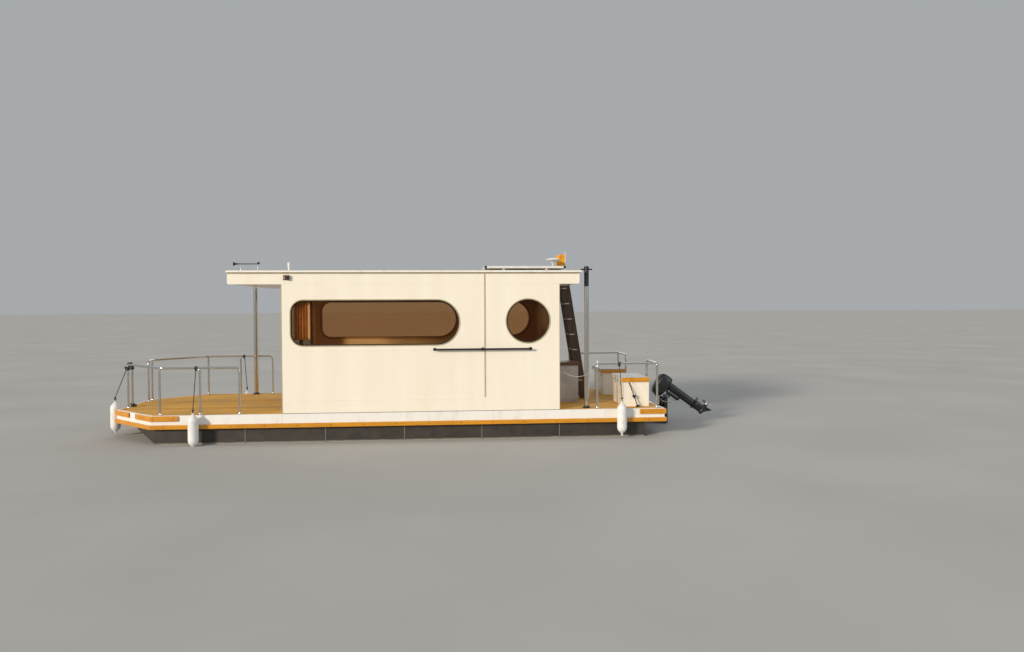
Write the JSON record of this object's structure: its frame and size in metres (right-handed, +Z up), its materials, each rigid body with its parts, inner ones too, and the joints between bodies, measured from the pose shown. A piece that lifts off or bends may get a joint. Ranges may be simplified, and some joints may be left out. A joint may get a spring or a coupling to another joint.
{
  "type": "houseboat",
  "caption": "Small flat-roofed houseboat: cream cabin with long rounded windows on a decked platform over closed floats, with stern outboard, ladder, railings and spud poles.",
  "frame": {"origin": "on the centreline, halfway along the whole length, at the underside of the floats", "axes": "+X forward to the bow, +Y to port, +Z up"},
  "size_m": [10.2388, 3.3686, 3.405],
  "materials": {
    "float_plastic": "moulded, dull",
    "white_paint": "semi-gloss",
    "cream_panel": "gel coat, semi-gloss",
    "deck_board": "ribbed, weathered",
    "varnished_wood": "varnished",
    "dark_wood": "stained",
    "plywood": "oiled",
    "glass_pane": "tinted, clear",
    "stainless": "polished tube",
    "black_plastic": "moulded",
    "black_paint": "semi-gloss",
    "solar_cells": "cells under glass",
    "grey_panel": "satin",
    "fender_vinyl": "inflated vinyl",
    "upholstery": "woven",
    "curtain_cloth": "woven",
    "flag_cloth": "thin woven cloth",
    "rope_lay": "laid cord"
  },
  "bodies": {
    "hull": {"float_port": "float_plastic", "float_starboard": "float_plastic", "platform": "white_paint", "deck": "deck_board", "rub_rail": "varnished_wood", "rub_plank_bow": "varnished_wood", "rub_plank_port": "varnished_wood", "rub_plank_starboard": "varnished_wood", "rub_plank_stern": "varnished_wood", "wall_port_fore": "cream_panel", "wall_port_aft": "cream_panel", "window_port": "glass_pane", "porthole_port": "glass_pane", "wall_starboard_fore": "cream_panel", "wall_starboard_aft": "cream_panel", "window_starboard": "glass_pane", "porthole_starboard": "glass_pane", "wall_front": "cream_panel", "front_door_fixed_pane": "glass_pane", "wall_rear": "cream_panel", "partition_and_galley": "plywood", "roof": "cream_panel", "roof_cap": "white_paint", "handrail_port": "black_plastic", "handrail_starboard": "black_plastic", "rail_fore_port": "stainless", "rail_fore_starboard": "stainless", "rail_aft_port": "stainless", "rail_aft_starboard": "stainless", "ladder": "dark_wood", "cabinet": "grey_panel", "locker_port": "cream_panel", "locker_starboard": "cream_panel", "bench": "plywood", "bench_cushion": "upholstery", "back_cushion": "upholstery", "table": "plywood", "curtain_port": "curtain_cloth", "solar_panel": "solar_cells", "tv_antenna": "fender_vinyl", "flag": "flag_cloth", "fender_port_aft": "fender_vinyl", "fender_port_fore": "fender_vinyl", "fender_bow": "fender_vinyl", "fender_starboard_aft": "fender_vinyl", "fender_starboard_fore": "fender_vinyl", "motor_bracket": "black_paint", "gate_rope": "rope_lay", "horn": "black_plastic"},
    "front_door": {"front_door_frame": "black_paint", "front_door_glass": "glass_pane"},
    "rear_door": {"rear_door": "cream_panel"},
    "locker_lid_port": {"locker_lid_port": "varnished_wood"},
    "locker_lid_starboard": {"locker_lid_starboard": "varnished_wood"},
    "spud_pole_port": {"spud_pole_port": "stainless"},
    "spud_pole_starboard": {"spud_pole_starboard": "stainless"},
    "motor_tilt": {"outboard_swivel": "black_paint"},
    "motor_steer": {"outboard_leg": "black_paint", "outboard_cowl": "black_paint"},
    "propeller": {"propeller": "stainless"}
  },
  "joints": [
    {"name": "front_door_slide", "type": "slide", "parent": "hull", "child": "front_door", "axis": [0, 1, 0], "range_m": [0, 0.9]},
    {"name": "rear_door_hinge", "type": "hinge", "parent": "hull", "child": "rear_door", "pos_m": [-2.15, -1.15, 1.805], "axis": [0, 0, 1], "range_deg": [0, 100]},
    {"name": "locker_lid_port_hinge", "type": "hinge", "parent": "hull", "child": "locker_lid_port", "pos_m": [-3.653, 0.84, 1.2615], "axis": [0, -1, 0], "range_deg": [0, 80]},
    {"name": "locker_lid_starboard_hinge", "type": "hinge", "parent": "hull", "child": "locker_lid_starboard", "pos_m": [-3.653, -0.84, 1.2615], "axis": [0, -1, 0], "range_deg": [0, 80]},
    {"name": "spud_pole_port_slide", "type": "slide", "parent": "hull", "child": "spud_pole_port", "axis": [0, 0, -1], "range_m": [0, 2.05]},
    {"name": "spud_pole_starboard_slide", "type": "slide", "parent": "hull", "child": "spud_pole_starboard", "axis": [0, 0, -1], "range_m": [0, 2.05]},
    {"name": "motor_tilt_hinge", "type": "hinge", "parent": "hull", "child": "motor_tilt", "pos_m": [-4.279, 0, 0.845], "axis": [0, 1, 0], "range_deg": [-53.7, 0]},
    {"name": "motor_steer_hinge", "type": "hinge", "parent": "motor_tilt", "child": "motor_steer", "pos_m": [-4.3216, 0, 0.903], "axis": [0.8059, 0, 0.592], "range_deg": [-35, 35]},
    {"name": "propeller_spin", "type": "hinge", "parent": "motor_steer", "child": "propeller", "pos_m": [-5.0343, 0, 0.6959], "axis": [0.592, 0, -0.8059], "continuous": true}
  ]
}
